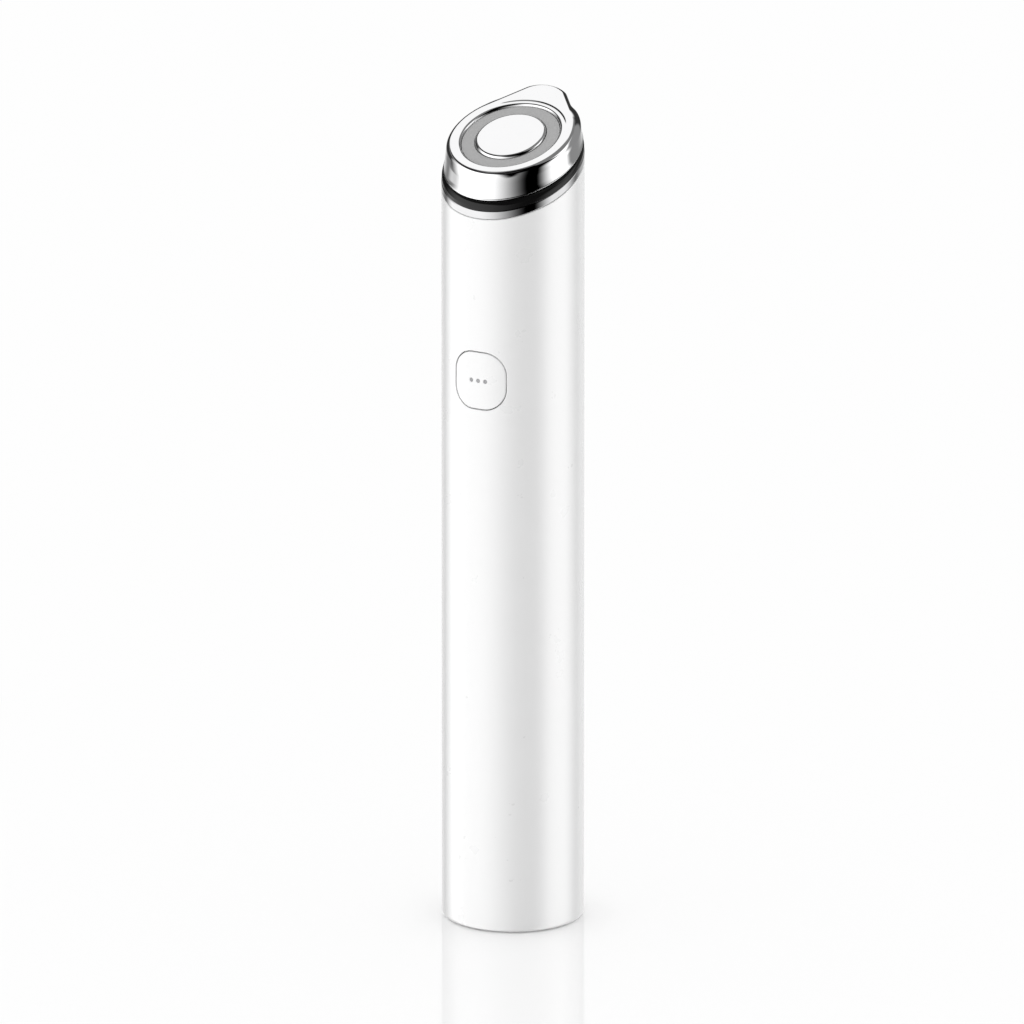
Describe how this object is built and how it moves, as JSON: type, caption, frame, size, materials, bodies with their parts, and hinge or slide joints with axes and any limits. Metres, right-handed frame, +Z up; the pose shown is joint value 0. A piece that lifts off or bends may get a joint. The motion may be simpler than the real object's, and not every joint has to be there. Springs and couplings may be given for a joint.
{
  "type": "microcurrent facial device",
  "caption": "Slim upright facial wand with a slanted polished teardrop electrode head, a recessed light ring, a flush press button and a charging socket in its flat foot.",
  "frame": {"origin": "on the barrel's axis, in the plane of the foot pad's underside", "axes": "+Z up along the barrel towards the head, -Y towards the button, the head's slanted face rises towards +Y"},
  "size_m": [0.025, 0.0254, 0.1482],
  "materials": {
    "white_gloss": "smooth white moulded plastic with a soft gloss",
    "polished_chrome": "mirror-bright polished plating",
    "black_plastic": "smooth black moulded plastic",
    "black_rubber": "soft matt black",
    "frosted_grey": "frosted light-spreading plastic",
    "dot_grey": "grey light guide, lightly frosted",
    "foot_grey": "soft light grey foot pad",
    "board_green": "solder-masked circuit board",
    "gold_plate": "gold-plated contacts",
    "steel": "plain bright steel",
    "weight_metal": "sintered dark metal",
    "led_package": "small light packages",
    "chip_black": "black moulded packages",
    "ferrite": "pressed dark grey coil block",
    "ivory_plastic": "natural ivory plastic",
    "frame_plastic": "light grey moulded plastic",
    "cell_case": "blue sleeve on a metal can",
    "foam": "dark foam strip",
    "lead_insulation": "coloured insulation of thin leads"
  },
  "bodies": {
    "housing": {"body_tube": "white_gloss", "collar_ring": "polished_chrome", "insulator_ring": "black_plastic", "head_gasket": "black_rubber", "outer_electrode": "polished_chrome", "light_ring": "frosted_grey", "centre_electrode": "polished_chrome", "electrode_bush": "ivory_plastic", "light_board": "board_green", "ring_leds": "led_package", "contact_pins": "gold_plate", "electrode_terminal": "gold_plate", "electrode_nut": "steel", "electrode_leads": "lead_insulation", "chassis": "frame_plastic", "head_screws": "steel", "main_board": "board_green", "board_screws": "steel", "board_chips": "chip_black", "boost_inductor": "ferrite", "indicator_leds": "led_package", "switch_body": "chip_black", "battery_cell": "cell_case", "battery_pad": "foam", "battery_leads": "lead_insulation", "motor_can": "steel", "motor_sleeve": "black_rubber", "motor_leads": "lead_insulation", "charge_board": "board_green", "charge_leads": "lead_insulation", "usb_shell": "steel", "usb_tongue": "chip_black", "base_cap": "white_gloss", "base_seal": "black_rubber", "base_screws": "steel", "base_pad": "foot_grey"},
    "button": {"button_cap": "white_gloss", "indicator_windows": "dot_grey"},
    "plunger": {"switch_plunger": "ivory_plastic"},
    "motor_rotor": {"motor_shaft": "steel", "eccentric_weight": "weight_metal"}
  },
  "joints": [
    {"name": "button_press", "type": "slide", "parent": "housing", "child": "button", "axis": [0, 1, 0], "range_m": [0, 0.0004], "stiffness_N_per_m": 1000},
    {"name": "plunger_press", "type": "slide", "parent": "housing", "child": "plunger", "axis": [0, 1, 0], "range_m": [0, 0.0004]},
    {"name": "motor_spin", "type": "hinge", "parent": "housing", "child": "motor_rotor", "pos_m": [0, 0.0035, 0.0805], "axis": [0, 0, 1], "continuous": true}
  ],
  "couplings": [
    {"joint": "plunger_press", "follows": "button_press", "ratio": 1}
  ]
}
